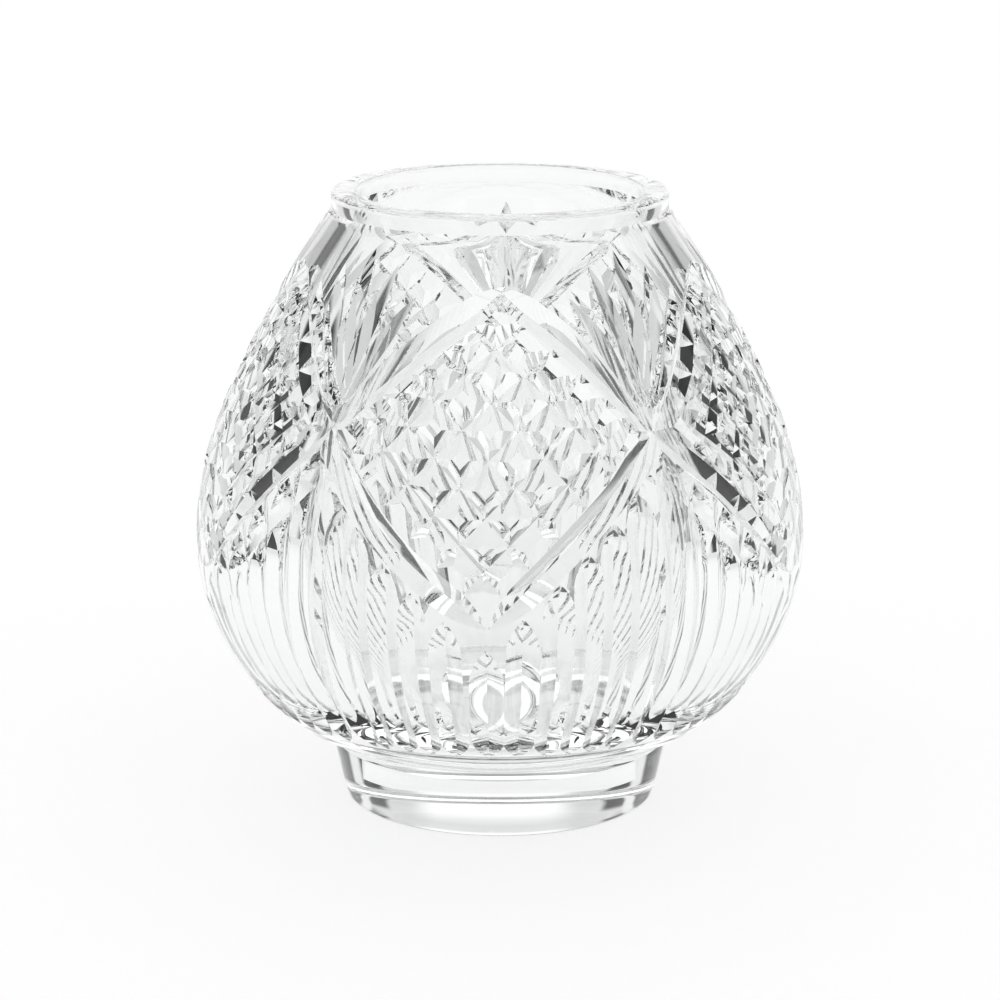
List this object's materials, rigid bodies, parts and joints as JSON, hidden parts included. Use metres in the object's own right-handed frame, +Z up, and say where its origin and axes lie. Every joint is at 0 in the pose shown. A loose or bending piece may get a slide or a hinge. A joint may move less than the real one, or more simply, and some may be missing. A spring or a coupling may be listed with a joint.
{
  "type": "rose bowl vase",
  "caption": "Heavy cut glass rose bowl vase: a round body that narrows to a thick rim, cut with lattice diamonds, fans and upright flutes, on a solid round foot.",
  "frame": {"origin": "middle of the flat ring that the vase stands on", "axes": "+Z up along the axis of the bowl; -Y towards the front, where one lattice diamond is centred; +X to the right seen from the front"},
  "size_m": [0.175, 0.1749, 0.178],
  "materials": {
    "crystal": "polished"
  },
  "bodies": {
    "root": {"bowl": "crystal", "foot": "crystal"}
  },
  "joints": []
}
